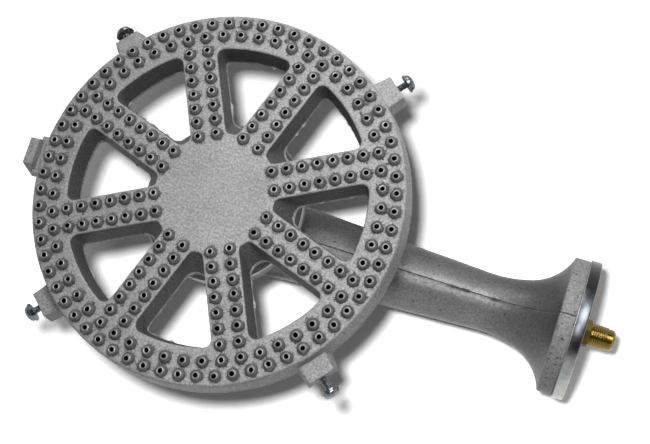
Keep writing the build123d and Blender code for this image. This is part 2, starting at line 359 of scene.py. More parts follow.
# Bolts under the flange
bolt_count = 4
bolt_circle = 44.0
bolt_radius = 4.0
bolt_length = 19.0
bolt_point = 1.0
bolt_point_radius = 3.2
bolt_hex_across = 13.0
bolt_head_height = 5.3
bolt_chamfer = 0.9
bolt_washer_bore = 4.15
bolt_washer_radius = 6.8
bolt_washer_edge = 0.3

# Threads: how steep a crest is, and the pitches over which it runs out
thread_crest = 2.6
thread_runout = 0.6

# Hexagons: their points, levels and inset of the light chamfer at the foot, and inset of the face
hex_sides = 72
hex_foot_levels = (0.25, 0.5)
hex_foot_inset = 0.1
hex_face_inset = 0.25

# Meshes: points nearer than this are welded, and edges are sharp or softened past these angles
weld_gap = 0.002
sharp_angle = 40.0
cad_sharp_angle = 30.0
bevel_angle = 35.0


def new_object(name, data):
    """New object in the scene."""
    made = bpy.data.objects.new(name, data)
    bpy.context.scene.collection.objects.link(made)
    return made


class Shell:
    """Points and faces of one piece in millimetres, gathered before its mesh is made."""

    def __init__(self):
        self.points = []
        self.rough = []
        self.faces = []
        self.finishes = []

    def add(self, points, faces, finish=CAST, rough=0.0):
        """Take in faces with one finish, or a list of finishes, and the depth of their grain."""
        start = len(self.points)
        self.points.extend(Vector(point) for point in points)
        self.rough.extend([rough] * len(points))
        self.faces.extend(tuple(start + corner for corner in face) for face in faces)
        self.finishes.extend(finish if isinstance(finish, list) else [finish] * len(faces))

    def skin(self, rows, finish=CAST, rough=0.0):
        """Take in the quads between closed rows, with one finish or a list of one for each band."""
        points, faces = strip(rows)
        bands = finish if isinstance(finish, list) else [finish] * (len(rows) - 1)
        self.add(points, faces, [band for band in bands for _ in rows[0]], rough)

    def piece(self, name, materials, grain=None):
        """Blender object of the gathered shell, with its seams welded and its skin roughened."""
        mesh = bpy.data.meshes.new(name)
        mesh.from_pydata([point * MM for point in self.points], [], self.faces)
        mesh.polygons.foreach_set("material_index", self.finishes)
        for material in materials:
            mesh.materials.append(material)
        bm = bmesh.new()
        bm.from_mesh(mesh)
        layer = bm.verts.layers.float.new("rough")
        for vertex, rough in zip(bm.verts, self.rough):
            vertex[layer] = rough
        bmesh.ops.remove_doubles(bm, verts=bm.verts, dist=weld_gap * MM)
        bmesh.ops.dissolve_degenerate(bm, edges=bm.edges, dist=1e-7)
        bmesh.ops.recalc_face_normals(bm, faces=bm.faces)
        bm.normal_update()
        if grain:
            shifts = [vertex.normal * grain(vertex.co / MM) * vertex[layer] * MM for vertex in bm.verts]
            for vertex, shift in zip(bm.verts, shifts):
                vertex.co += shift
        bm.verts.layers.float.remove(layer)
        bm.to_mesh(mesh)
        bm.free()
        mesh.shade_smooth()
        mesh.set_sharp_from_angle(angle=math.radians(sharp_angle))
        return new_object(name, mesh)


def strip(rows):
    """Quads between closed rows of equally many points, as (points, faces)."""
    count = len(rows[0])
    faces = []
    for low in range(0, (len(rows) - 1) * count, count):
        high = low + count
        for place in range(count):
            after = (place + 1) % count
            faces.append((low + place, low + after, high + after, high + place))
    return [point for row in rows for point in row], faces


def lathe(shell, profile, place, finish=CAST, sides=48, rough=0.0):
    """Surface turned about the local Z axis of place. The profile lists (along, radius), and a radius of zero
    closes it on the axis."""
    rows = []
    for along, radius in profile:
        rows.append([place @ Vector((*spot, along)) for spot in circle(radius, sides)])
    shell.skin(rows, finish, rough)


def thread(shell, start, end, radius, depth, pitch, place, sides, steps):
    """Screw thread: a skin whose radius climbs and falls once in each pitch along a helix."""
    rows = []
    levels = max(2, round((end - start) / pitch * steps))
    runout = thread_runout * pitch
    for level in range(levels + 1):
        along = start + (end - start) * level / levels
        ends = max(0.0, min(1.0, (along - start) / runout, (end - along) / runout))
        row = []
        for side in range(sides):
            share = (along / pitch - side / sides) % 1
            crest = max(0.0, 1 - abs(share - 0.5) * thread_crest)
            size = radius - depth * (1 - crest * ends)
            turn = 2 * math.pi * side / sides
            row.append(place @ Vector((size * math.cos(turn), size * math.sin(turn), along)))
        rows.append(row)
    shell.skin(rows)


def tube_place(distance=0.0):
    """Local frame on the venturi's axis, with its Z along +X and its X upwards."""
    turn = Matrix(((0, 0, 1), (0, -1, 0), (1, 0, 0))).to_4x4()
    return Matrix.Translation((distance, 0, axis_z)) @ turn


def radial_place(angle, radius, height):
    """Local frame on the rim, with its Z outwards from the head's axis and its X upwards."""
    up = Vector((0, 0, 1))
    out = Vector((*polar(1.0, angle), 0))
    rotation = Matrix((up, up.cross(out), out)).transposed().to_4x4()
    return Matrix.Translation(out * radius + up * height) @ rotation


def polar(radius, degrees):
    turn = math.radians(degrees)
    return radius * math.cos(turn), radius * math.sin(turn)


def circle(radius, sides, shift=0.0):
    """Places round a circle about the origin, turned by a share of a step."""
    return [polar(radius, (side + shift) * 360 / sides) for side in range(sides)]


def turned(points, degrees):
    """Points of a flat outline turned about the head's axis."""
    c, s = polar(1.0, degrees)
    return [(u * c - v * s, u * s + v * c) for u, v in points]


def round_join(a, b, radius):
    """Distance outside the overlap of two regions, with the corner between them rounded."""
    flat = np.minimum(np.maximum(a, b), -radius)
    return flat + np.hypot(np.maximum(a + radius, 0), np.maximum(b + radius, 0))


def hub_radius(depth):
    """Radius of the hub's flare at a depth under the top face."""
    return hub_top_radius + (hub_lip_radius - hub_top_radius) * depth / (head_top - hub_lip_top)


def window_gap(u, v, shrink, depth):
    """Distance outside a window's outline at one level of its wall, about the window's middle line."""
    half = math.radians(spoke_step / 2)
    inner = max(window_inner_round - shrink, window_least_round)
    outer = max(window_outer_round - shrink, window_least_round)
    reach = spoke_width / 2 + shrink + inner
    across = np.abs(v)
    apex = reach / math.sin(half)
    spokes = across * math.cos(half) - u * math.sin(half) + reach
    before_apex = (u - apex) * math.cos(half) + across * math.sin(half) < 0
    spokes = np.where(before_apex, np.hypot(u - apex, v), spokes) - inner
    rim = np.hypot(u, v) - (window_radius - shrink)
    gap = round_join(spokes, rim, outer)
    if depth <= 0:
        return gap
    corner = min(window_hub_round, window_hub_round_growth * depth)
    return round_join(gap, hub_radius(depth) - np.hypot(u, v), corner)


def window_outline(shrink, depth):
    """Outline of one window about its middle line along +X, found by halving along rays from its middle."""
    turns = np.linspace(0, 2 * np.pi, window_points, endpoint=False)
    low = np.zeros(window_points)
    high = np.full(window_points, window_reach)
    for _ in range(window_halvings):
        middle = (low + high) / 2
        inside = window_gap(window_centre + middle * np.cos(turns), middle * np.sin(turns), shrink, depth) < 0
        low = np.where(inside, middle, low)
        high = np.where(inside, high, middle)
    return list(zip(window_centre + low * np.cos(turns), low * np.sin(turns)))


def cast_grain(place):
    """Unevenness of a sand-cast skin, about -1 to 1, at a place in millimetres."""
    return sum(share * noise.noise(place * scale + Vector(shift)) for scale, shift, share in grain_layers)


def flat_fill(shell, loops, height, keep, grid, finish):
    """Flat face between outlines, triangulated with extra points on a staggered grid."""
    points = []
    edges = []
    for loop in loops:
        start = len(points)
        points.extend(loop)
        edges.extend((start + n, start + (n + 1) % len(loop)) for n in range(len(loop)))
    walls = np.array(points)
    for row in range(int(2 * head_radius / (grid * grid_row)) + 1):
        y = -head_radius + row * grid * grid_row
        for column in range(int(2 * head_radius / grid) + 1):
            x = -head_radius + (column + 0.5 * (row % 2)) * grid
            x += random.uniform(-grid_jitter, grid_jitter) * grid
            gaps = (walls[:, 0] - x) ** 2 + (walls[:, 1] - y) ** 2
            if keep(x, y) and np.min(gaps) > (grid_margin * grid) ** 2:
                points.append((x, y))
    made = geometry.delaunay_2d_cdt([Vector(point) for point in points], edges, [], 0, 1e-6)
    places, faces = made[0], made[2]
    kept = []
    finishes = []
    for face in faces:
        x = sum(places[corner].x for corner in face) / len(face)
        y = sum(places[corner].y for corner in face) / len(face)
        if keep(x, y):
            kept.append(tuple(face))
            finishes.append(finish(x, y))
    shell.add([(place.x, place.y, height) for place in places], kept, finishes, face_grain)


def on_metal(x, y):
    """Whether a place on the head's top face lies on the rim, a spoke or the hub."""
    radius = math.hypot(x, y)
    if radius > head_radius - head_edge:
        return False
    angle = math.degrees(math.atan2(y, x)) - head_turn
    local = (angle + spoke_step / 2) % spoke_step - spoke_step / 2
    u, v = polar(radius, local)
    return bool(window_gap(np.array(u), np.array(v), -window_edge, 0) > 0)


def port_places():
    """Centres of all the gas ports."""
    places = []
    for n in range(outer_ring_count):
        places.append(polar(outer_ring_radius, first_spoke + n * 360 / outer_ring_count))
    for n in range(inner_ring_count):
        places.append(polar(inner_ring_radius, first_spoke + (n + 0.5) * 360 / inner_ring_count))
    columns = []
    for row in range(spoke_port_rows):
        out = spoke_port_start + row * spoke_port_pitch
        columns += [(out, -spoke_column_gap / 2), (out, spoke_column_gap / 2)]
    for turn in spoke_turns:
        places.extend(turned(columns, turn))
    return places


def nipple_foot(x, y, turn):
    """Radius of a nipple's uneven foot in one direction."""
    place = Vector((x + foot_sample * math.cos(turn), y + foot_sample * math.sin(turn), 2.0)) * foot_scale
    return min(nipple_base * (1 + foot_unevenness * noise.noise(place)), nipple_foot_limit)


def nipple(shell, centre):
    """Raised part of a gas port: a dome with a worn crown and a drilled hole, each one a little different."""
    x, y = centre
    rise = nipple_height + random.uniform(-nipple_sink, 0.0)
    lean_x = random.uniform(-nipple_lean, nipple_lean)
    lean_y = random.uniform(-nipple_lean, nipple_lean)
    hole_x = x + lean_x + random.uniform(-port_drift, port_drift)
    hole_y = y + lean_y + random.uniform(-port_drift, port_drift)
    hole = port_hole + random.uniform(-port_hole_spread, port_hole_spread)
    rows = []
    for share, finish in nipple_levels:
        radius = nipple_base * math.sqrt(1 - (share * nipple_dome) ** 2)
        height = share * rise
        row = []
        for turn in nipple_turns:
            c, s = math.cos(turn), math.sin(turn)
            size = radius + (nipple_foot(x, y, turn) - nipple_base) * (1 - share)
            if finish == NIPPLE:
                place = (x + nipple_grain_sample * c, y + nipple_grain_sample * s, height)
                size += nipple_grain * noise.noise(Vector(place))
            row.append((x + lean_x * share + size * c, y + lean_y * share + size * s, head_top + height))
        rows.append(row)
    drilled = [(x + lean_x, y + lean_y, crown_radius, rise), (hole_x, hole_y, hole, rise - crown_depth)]
    drilled += [(hole_x, hole_y, hole, -port_depth), (hole_x, hole_y, 0.0, -port_depth)]
    for u, v, size, height in drilled:
        level = head_top + height
        rows.append([(u + size * math.cos(t), v + size * math.sin(t), level) for t in nipple_turns])
    # The hole's bands take the black of painted shade
    bands = [finish for _, finish in nipple_levels] + [CROWN, BORE, BORE]
    shell.skin(rows, bands)


def crumbs(shell, ports):
    """Lumps of sand skin on the top face: the large ones, and small ones at the feet of some ports."""
    chance = random.Random(5)
    lumps = list(large_crumbs)
    for x, y in ports:
        turn = chance.uniform(0.0, 360.0)
        size = chance.uniform(*crumb_sizes)
        if chance.random() < crumb_share:
            across, along = polar(nipple_base, turn)
            lumps.append((x + across, y + along, size))
    for x, y, size in lumps:
        corners = [(x + side * size, y + end * size) for side in (-1, 1) for end in (-1, 1)]
        if all(on_metal(*corner) for corner in corners):
            dome = []
            for degrees in crumb_degrees:
                reach, rise = polar(size, degrees)
                dome.append((crumb_flatness * rise, reach))
            lathe(shell, dome, Matrix.Translation((x, y, head_top)), NIPPLE, 10, crumb_grain)


def top_face(shell, ports):
    """Top of the head between the rim, the windows and the ports' feet, with painted shade round the feet."""
    loops = [circle(head_radius - head_edge, rim_points)]
    outline = window_outline(-window_edge, 0)
    loops += [turned(outline, turn) for turn in window_turns]
    for x, y in ports:
        feet = [nipple_foot(x, y, turn) for turn in nipple_turns]
        loops.append([(x + r * math.cos(t), y + r * math.sin(t)) for r, t in zip(feet, nipple_turns)])
    centres = np.array(ports)

    def port_gap(x, y):
        gaps = np.hypot(centres[:, 0] - x, centres[:, 1] - y)
        nearest = int(np.argmin(gaps))
        port_x, port_y = ports[nearest]
        return gaps[nearest] - nipple_foot(port_x, port_y, math.atan2(y - port_y, x - port_x))

    def on_top(x, y):
        return port_gap(x, y) > 0 and on_metal(x, y)

    def top_finish(x, y):
        reach = foot_shade_reach * (1 + foot_shade_unevenness * noise.noise(Vector((x, y, 4.0)) * foot_shade_scale))
        # Darker iron near a port's foot is painted shade
        return FOOT_SHADE if port_gap(x, y) < reach else CAST

    flat_fill(shell, loops, head_top, on_top, top_grid, top_finish)


def ragged(u, v):
    """Width of the thin flash left on a window's lower edge."""
    place = Vector((u * flash_scale, v * flash_scale, 5.0))
    broad = max(0.0, noise.noise(place) - flash_least) * flash_width
    fine = max(0.0, noise.noise(place * flash_fine_scale) - flash_fine_least) * flash_fine_width
    return broad + fine


def window_levels():
    """Depths down a window's wall, each with how far the wall has come in and its share of flash."""
    levels = []
    for degrees in edge_degrees:
        back, drop = polar(window_edge, degrees)
        levels.append((window_edge - back, drop - window_edge, 0.0))
    levels += [(depth, depth * wall_draft, 0.0) for depth in wall_depths]
    for height, flash in flash_levels:
        levels.append((head_depth - height, (head_depth - height) * wall_draft, flash))
    return levels


def window_walls(shell):
    """Sloping walls of the windows, in iron with painted shade, with their ragged flash. Gives their outlines
    at the underside.
    """
    levels = window_levels()
    outlines = [window_outline(shrink, depth) for depth, shrink, _ in levels]
    edge_rows = len(edge_degrees) - 1
    flash_rows = len(flash_levels) - 1
    bands = [CAST] * edge_rows + [SHADED] * (len(levels) - 1 - edge_rows - flash_rows) + [CAST] * flash_rows
    loops = []
    for turn in window_turns:
        middle = Vector(polar(window_centre, turn))
        rows = []
        for (depth, _, flash), outline in zip(levels, outlines):
            row = []
            for u, v in turned(outline, turn):
                inward = (middle - Vector((u, v))).normalized()
                inward *= flash * ragged(u, v) if flash > 0 else flash
                row.append((u + inward.x, v + inward.y, head_top - depth))
            rows.append(row)
        loops.append([point[:2] for point in rows[-1]])
        shell.skin(rows, bands, face_grain)
    return loops


def rim_wall(shell):
    """Sloping wall round the head. Gives its outline at the underside."""
    levels = rim_edge_levels + [(depth, depth * wall_draft) for depth in rim_depths]
    levels.append((head_depth, bottom_radius - head_radius))
    rows = []
    for depth, spread in levels:
        rows.append([(*spot, head_top - depth) for spot in circle(head_radius + spread, rim_points)])
    shell.skin(rows, CAST, rim_grain)
    return [point[:2] for point in rows[-1]]


def inside_loop(x, y, loop):
    """Whether a place lies inside a closed outline."""
    after = np.roll(loop, -1, axis=0)
    spans = (loop[:, 1] > y) != (after[:, 1] > y)
    rise = np.where(after[:, 1] == loop[:, 1], 1e-12, after[:, 1] - loop[:, 1])
    crossing = loop[:, 0] + (y - loop[:, 1]) / rise * (after[:, 0] - loop[:, 0])
    return bool(np.count_nonzero(spans & (x < crossing)) % 2)


def bottom_face(shell, rim_loop, window_loops):
    """Flat underside between the rim and the windows."""
    windows = [np.array(loop) for loop in window_loops]

    def on_bottom(x, y):
        return math.hypot(x, y) <= bottom_radius and not any(inside_loop(x, y, loop) for loop in windows)

    flat_fill(shell, [rim_loop] + window_loops, head_bottom, on_bottom, bottom_grid, lambda x, y: CAST)


def rounded_outline(outline):
    """Flat outline with rounded corners, cut into short parts."""
    loop = []
    for n, corner in enumerate(outline):
        here = Vector(corner)
        before = (Vector(outline[n - 1]) - here).normalized() * lug_corner
        after = (Vector(outline[(n + 1) % len(outline)]) - here).normalized() * lug_corner
        for share in (0.0, 0.25, 0.5, 0.75, 1.0):
            loop.append(here + before * (1 - share) ** 2 + after * share**2)
    dense = []
    for n, point in enumerate(loop):
        ahead = loop[(n + 1) % len(loop)]
        parts = max(1, round((ahead - point).length / lug_outline_step))
        dense.extend(point.lerp(ahead, k / parts) for k in range(parts))
    return dense


def block(shell, outline, length, place, taper=0.0, hole=0.0, depth=0.0):
    """Cast block: a flat outline drawn along the local Z axis, wider at its start by the share taper, with
    rounded edges and, if asked for, a hole drilled into its far end."""
    edge, share = lug_edge, lug_edge_share
    outline = rounded_outline(outline)
    count = len(outline)
    centre = Vector((max(point.x for point in outline) / 2, 0.0))
    steps = max(2, round(length / lug_step))
    levels = [(0.0, 1.0), (share * edge, share), (edge, 0.0)]
    levels += [(edge + (length - 2 * edge) * n / steps, 0.0) for n in range(1, steps)]
    levels += [(length - edge, 0.0), (length - share * edge, share), (length, 1.0)]
    rows = []
    for level, inset in levels:
        widen = 1 + taper * (1 - level / length)
        row = []
        for point in outline:
            inward = (centre - point).normalized() * inset * edge
            row.append(Vector((point.x + inward.x, (point.y + inward.y) * widen, level)))
        rows.append(row)
    middle = Vector((*centre, 0.0))
    drill = Vector((0, 0, depth))
    far = middle + Vector((0, 0, length))
    rim = [far + (point - far).normalized() * hole for point in rows[-1]]
    rows = [[middle] * count, [point.lerp(middle, 0.5) for point in rows[0]]] + rows
    rows += [[point.lerp(inner, 0.5) for point, inner in zip(rows[-1], rim)], rim]
    rows += [[point - drill for point in rim], [far - drill] * count]
    shell.skin([[place @ point for point in row] for row in rows], CAST, lug_grain)


def lugs(shell):
    """Four drilled screw lugs on the rim and the hooked lug at the back. Their ends stay back by the depth of
    the cast skin's grain."""
    end = [(0.0, -lug_end_width / 2 - lug_draft), (lug_height, -lug_end_width / 2)]
    end += [(x, -y) for x, y in reversed(end)]
    length = lug_reach - lug_end_room - lug_root
    taper = lug_root_width / lug_end_width - 1
    for turn in lug_turns:
        place = radial_place(turn, lug_root, 0.0)
        block(shell, end, length, place, taper, screw_hole_radius, screw_hole_depth)
    turn = head_turn + 180 + rear_lug_offset
    lip = lug_reach - rear_lip_thickness
    base, top = rear_lip_base_width / 2, rear_lip_top_width / 2
    floor = [(0.0, -base), (lug_height, -base), (lug_height, base), (0.0, base)]
    block(shell, floor, lip + rear_lap - lug_root, radial_place(turn, lug_root, 0.0))
    wall = [(0.0, -base), (rear_lip_height, -top), (rear_lip_height, top), (0.0, base)]
    block(shell, wall, rear_lip_thickness - lug_end_room, radial_place(turn, lip, 0.0))


def hub_skirt(shell):
    """Flare of the hub under the spokes, in iron with painted shade, down to its machined lip and joint face.
    """
    lip, edge = hub_lip_radius, hub_lip_edge
    profile = [(skirt_top, 0.0), (skirt_top, hub_radius(head_top - skirt_top) - skirt_top_inset)]
    profile += [(head_bottom, hub_radius(head_depth) - skirt_room)]
    profile += [(skirt_knee, hub_radius(head_top - skirt_knee))]
    profile += [(hub_lip_top + rise, lip - inset) for rise, inset in hub_lip_root]
    profile += [(hub_lip_top - edge, lip), (hub_lip_bottom + edge, lip)]
    profile += [(hub_lip_bottom, lip - edge), (hub_lip_bottom, 0.0)]
    lathe(shell, profile, Matrix.Identity(4), [SHADED] * 5 + [MACHINED] * 4, sides=160)


def head_shell():
    """Head casting: rim, spokes and hub with their ports, lugs and the hub's skirt."""
    shell = Shell()
    ports = port_places()
    top_face(shell, ports)
    for place in ports:
        nipple(shell, place)
    crumbs(shell, ports)
    window_loops = window_walls(shell)
    rim_loop = rim_wall(shell)
    bottom_face(shell, rim_loop, window_loops)
    lugs(shell)
    hub_skirt(shell)
    return shell


def arc_through(start, end, slope):
    """Centre and radius of the arc that leaves start along a slope and reaches end, hollow side outwards."""
    along, across = 1 / math.hypot(1, slope), slope / math.hypot(1, slope)
    normal = Vector((-across, along))
    chord = Vector(end) - Vector(start)
    radius = chord.length_squared / (2 * chord.dot(normal))
    return Vector(start) + normal * radius, radius


def arc_height(arc, along):
    centre, radius = arc
    return centre.y - math.sqrt(max(radius**2 - (along - centre.x) ** 2, 0.0))


def arc_slope(arc, along):
    centre, radius = arc
    return (along - centre.x) / math.sqrt(max(radius**2 - (along - centre.x) ** 2, 1e-9))


flare_neck = arc_through((taper_end, taper_end_radius), (flare_start, flare_start_radius), taper_slope)
flare_bell = arc_through(
    (flare_start, flare_start_radius), (flare_end, flare_end_radius), arc_slope(flare_neck, flare_start)
)


def tube_radius(along):
    """Outer radius of the venturi along its axis."""
    if along <= taper_end:
        return elbow_radius + (taper_end_radius - elbow_radius) * max(along, 0.0) / taper_end
    if along <= flare_start:
        return arc_height(flare_neck, along)
    return arc_height(flare_bell, min(along, flare_end))


def elbow_gap(point):
    """Distance outside the elbow, riser and tube, with a fillet in the corner between riser and tube."""
    x, y, z = point
    drop = z - axis_z
    ball = math.sqrt(x * x + y * y + drop * drop) - elbow_radius
    riser = math.hypot(x, y) - elbow_radius if drop > 0 else ball
    tube = math.hypot(y, drop) - tube_radius(x) if x > 0 else ball
    blend = max(0.0, elbow_fillet - abs(riser - tube)) / elbow_fillet
    return min(riser, tube) - blend * blend * elbow_fillet / 4


def elbow_row(centre, upward, angles):
    """Section of the elbow, found by halving along rays from its middle."""
    row = []
    for turn in angles:
        ray = Vector((0, 1, 0)) * math.sin(turn) + upward * math.cos(turn)
        low, high = 0.0, elbow_reach
        for _ in range(elbow_halvings):
            middle = (low + high) / 2
            if elbow_gap(centre + ray * middle) < 0:
                low = middle
            else:
                high = middle
        row.append(centre + ray * low)
    return row


def seam_angles():
    """Angles round the tube from its top, closer together at the two mould seams."""
    near = [0.0, 0.5, 1.0, 1.5, 2.1, 3.0, 4.5, 6.5]
    side = [10 + n * 4 for n in range(41)]
    half = near + side + [180 - angle for angle in reversed(near)]
    full = half + [360 - angle for angle in reversed(half[1:-1])]
    return [math.radians(angle) for angle in full]


def hump(place, height, middle, width):
    """Smooth hump of a height and width about its middle."""
    return height * math.exp(-(((place - middle) / width) ** 2))


def wave(along, scale, *layer):
    """Noise along the tube, in a layer of its own for each use."""
    return noise.noise(Vector((along * scale, *layer)))


def seam_offset(along, turn):
    """Degrees from the mould seam, which strays a little from the tube's top and bottom."""
    return (math.degrees(turn) + 90) % 180 - 90 - seam_stray * wave(along, *stray_wave)


def seam_bits(along):
    """Ragged bits of flash on the seam, most of them before the bell."""
    return max(0.0, wave(along, *flash_wave) - seam_flash_least) * hump(along, *seam_flash_stretch)


def seam_rise(along, turn):
    """Height of the mould seam's ridge, groove and bits on the tube, at an angle from its top."""
    offset = seam_offset(along, turn) * seam_degree
    strength = 0.5 + 0.5 * wave(along, *ridge_wave)
    ridge = strength * hump(offset, *seam_ridge)
    return ridge - hump(offset, *seam_groove) + seam_bits(along) * hump(offset, *seam_flash)


def in_seam_shade(along, turn):
    """Whether a face lies in the dark line of painted shade along the mould seam or on one of its bits."""
    half = seam_shade_half + seam_shade_spread * wave(along, *seam_shade_wave) + seam_shade_at_flash * seam_bits(along)
    return abs(seam_offset(along, turn) - seam_shade_middle) < half


def tube_row(along, radius, angles, seam):
    """Section of the tube, with a share of the mould seam's height."""
    row = []
    for turn in angles:
        size = radius + seam * seam_rise(along, turn)
        row.append(Vector((along, size * math.sin(turn), axis_z + size * math.cos(turn))))
    return row


def tube(shell):
    """Riser, elbow, tapered tube and bell, out to the edge of the rim's face."""
    angles = seam_angles()
    rows = [elbow_row(Vector((0, 0, z)), Vector((1, 0, 0)), angles) for z in riser_levels]
    pivot = Vector((elbow_bend, 0, axis_z + elbow_bend))
    for step in range(1, elbow_steps):
        across, upward = polar(1.0, 90 * step / elbow_steps)
        inward = Vector((across, 0, upward))
        rows.append(elbow_row(pivot - inward * elbow_bend, inward, angles))
    along = elbow_bend
    while along < flare_end - 0.01:
        rows.append(tube_row(along, tube_radius(along), angles, min(1.0, (along - seam_start) / seam_run_in)))
        along += coarse_row if along < fine_rows_from else fine_row
    body = len(rows)
    step, inset = rim_root
    rim = [(flare_end, flare_end_radius), (flare_end + step, rim_radius - inset)]
    rim += [(flare_end + out, rim_radius) for out in rim_rows] + [(rim_face - rim_edge_width, rim_radius)]
    rows += [tube_row(along, radius, angles, 1.0) for along, radius in rim]
    rows.append(tube_row(rim_face, rim_radius - rim_edge, angles, 0.0))
    points, faces = strip(rows)
    finishes = []
    for n in range(len(faces)):
        skin = CAST if n < body * len(angles) else NIPPLE
        # Faces in the seam's dark line take the iron with painted shade
        seam_shaded = points[n].x > elbow_bend and in_seam_shade(points[n].x, angles[n % len(angles)])
        finishes.append(SHADED if seam_shaded else skin)
    shell.add(points, faces, finishes, tube_grain)


def venturi_shell():
    """Venturi casting: tube, hollow mouth behind the shutter, boss in the mouth's plate, and flange."""
    shell = Shell()
    tube(shell)
    place = tube_place()
    mouth = [(rim_face, rim_radius - rim_edge), (rim_face, register_radius)]
    mouth += [(plate_face - register_edge, register_radius), (plate_face, register_radius - register_edge)]
    mouth += [(plate_face, mouth_bore), (plate_face - plate_thickness, mouth_bore)] + bell_inside
    mouth += [(throat_end, throat_end_radius), (throat_end, 0.0)]
    # The mouth's inside takes the iron with painted shade, and a disc of black painted shade closes it at the
    # throat
    lathe(shell, mouth, place, [MACHINED] * 5 + [SHADED] * 7 + [BORE], sides=128)
    back, front = plate_face - boss_length, plate_face - boss_lap
    boss = [(back, 0.0), (back, boss_radius - boss_edge), (back + boss_edge, boss_radius)]
    boss += [(front, boss_radius), (front, 0.0)]
    # The boss inside the mouth takes the iron with painted shade
    lathe(shell, boss, place, SHADED, sides=64)
    radius = hub_lip_radius
    flange = [(flange_top, 0.0), (flange_top, radius - flange_top_edge)]
    flange.append((flange_top - flange_top_edge, radius))
    flange += [(flange_bottom + flange_edge, radius), (flange_bottom, radius - flange_edge)]
    flange += [(flange_bottom - drop, size) for drop, size in flange_fillet]
    flange.append((flange[-1][0], 0.0))
    lathe(shell, flange, Matrix.Identity(4), [MACHINED] * 2 + [CAST] * 7, sides=128)
    return shell


def disc_ring(radius, level, place):
    """Points round the air shutter or the plate behind it."""
    return [place @ Vector((*spot, level)) for spot in circle(radius, disc_sides, 0.5)]


def ported_disc(shell, radii, level, place):
    """Flat ring with the air windows left out, as one sheet."""
    rings = sorted(set(radii) | {air_window_inner, air_window_outer})
    points, faces = strip([disc_ring(radius, level, place) for radius in rings])
    kept = []
    for n, face in enumerate(faces):
        ring, side = divmod(n, disc_sides)
        middle_radius = (rings[ring] + rings[ring + 1]) / 2
        past = ((side + 1) * 360 / disc_sides - first_air_window) % air_window_step
        in_angle = min(past, air_window_step - past) < air_window_angle / 2
        if not (in_angle and air_window_inner < middle_radius < air_window_outer):
            kept.append(face)
    shell.add(points, kept)


def thicken(piece, thickness, edge):
    """Give a sheet its wall and soften its edges."""
    solid = piece.modifiers.new("wall", "SOLIDIFY")
    solid.thickness = thickness * MM
    solid.offset = -1.0
    solid.use_even_offset = True
    softened = piece.modifiers.new("edges", "BEVEL")
    softened.width = edge * MM
    softened.segments = 2
    softened.limit_method = "ANGLE"
    softened.angle_limit = math.radians(bevel_angle)


def shutter_shell():
    """Pressed cap: a face with the air windows, a rounded corner and a short skirt."""
    shell = Shell()
    place = tube_place()
    face, back = shutter_high.x, shutter_low.x
    ported_disc(shell, shutter_rings, face, place)
    levels = []
    for degrees in (0, 22.5, 45, 67.5, 90):
        drop, inset = (shutter_corner - part for part in polar(shutter_corner, degrees))
        levels.append((face - drop, shutter_radius - inset))
    levels += [(face - skirt_middle, shutter_radius), (back, shutter_radius)]
    shell.skin([disc_ring(radius, level, place) for level, radius in levels])
    return shell


def fitting_shell():
    """Brass inlet: stem, shoulder, chamfered hexagon, flare thread, groove and bevelled nose."""
    shell = Shell()
    place = tube_place()
    stem_end, nose_end = fitting_low.x, fitting_high.x
    thread_start = hex_start + hex_length
    thread_end = thread_start + flare_thread_length
    first, last = thread_start + flare_thread_gap, thread_end - flare_thread_gap
    stem = [(stem_end, fitting_bore), (stem_end, stem_radius), (plate_face, stem_radius)]
    stem += [(plate_face, shoulder_radius), (hex_start, shoulder_radius)]
    lathe(shell, stem, place)
    step, inset = flare_neck_root
    lathe(shell, [(thread_start - step, flare_neck_radius - inset), (first, flare_neck_radius)], place)
    thread(shell, first, last, flare_thread_radius, flare_thread_depth, flare_thread_pitch, place, 48, 10)
    groove_start, groove_end, nose_start = (thread_end + level for level in nose_groove_levels)
    groove, tip = nose_radius - nose_groove, nose_radius - nose_chamfer
    nose = [(last, flare_thread_radius - flare_thread_depth), (groove_start, groove), (groove_end, groove)]
    nose += [(nose_start, nose_radius), (nose_end - nose_chamfer, nose_radius)]
    nose += [(nose_end - nose_tip[0], tip + nose_tip[1]), (nose_end, tip)]
    nose.append((nose_end, fitting_bore + fitting_bore_edge))
    nose += [(nose_end - fitting_bore_edge, fitting_bore), (nose_end - fitting_bore_depth, fitting_bore)]
    nose.append((nose_end - fitting_bore_depth, 0.0))
    lathe(shell, nose, place, [BRASS] * 8 + [BRASS_BORE] * 2)
    on_edge = place @ Matrix.Rotation(math.radians(hex_turn), 4, "Z")
    hexagon(shell, hex_across / 2, hex_start, hex_start + hex_length, on_edge, hex_chamfer)
    return shell


def hexagon(shell, flat_radius, low, high, place, chamfer):
    """Hexagon prism with the turned chamfer of a nut on its high end and a light one on its low end."""
    corner = flat_radius / math.cos(math.pi / 6)
    sides = hex_sides
    turns = [2 * math.pi * side / sides for side in range(sides)]
    sizes = [flat_radius / math.cos((turn + math.pi / 6) % (math.pi / 3) - math.pi / 6) for turn in turns]
    drops = [(size - flat_radius) / (corner - flat_radius) * chamfer for size in sizes]
    rows = [[(radius, low)] * sides for radius in (0.0, flat_radius - hex_foot_inset, flat_radius)]
    levels = [low + level for level in hex_foot_levels] + [high - chamfer]
    rows += [[(size, level) for size in sizes] for level in levels]
    rows.append([(size, high - drop) for size, drop in zip(sizes, drops)])
    rows += [[(radius, high)] * sides for radius in (flat_radius - hex_face_inset, 0.0)]
    placed = []
    for row in rows:
        points = [(size * math.cos(t), size * math.sin(t), level) for t, (size, level) in zip(turns, row)]
        placed.append([place @ Vector(point) for point in points])
    shell.skin(placed)


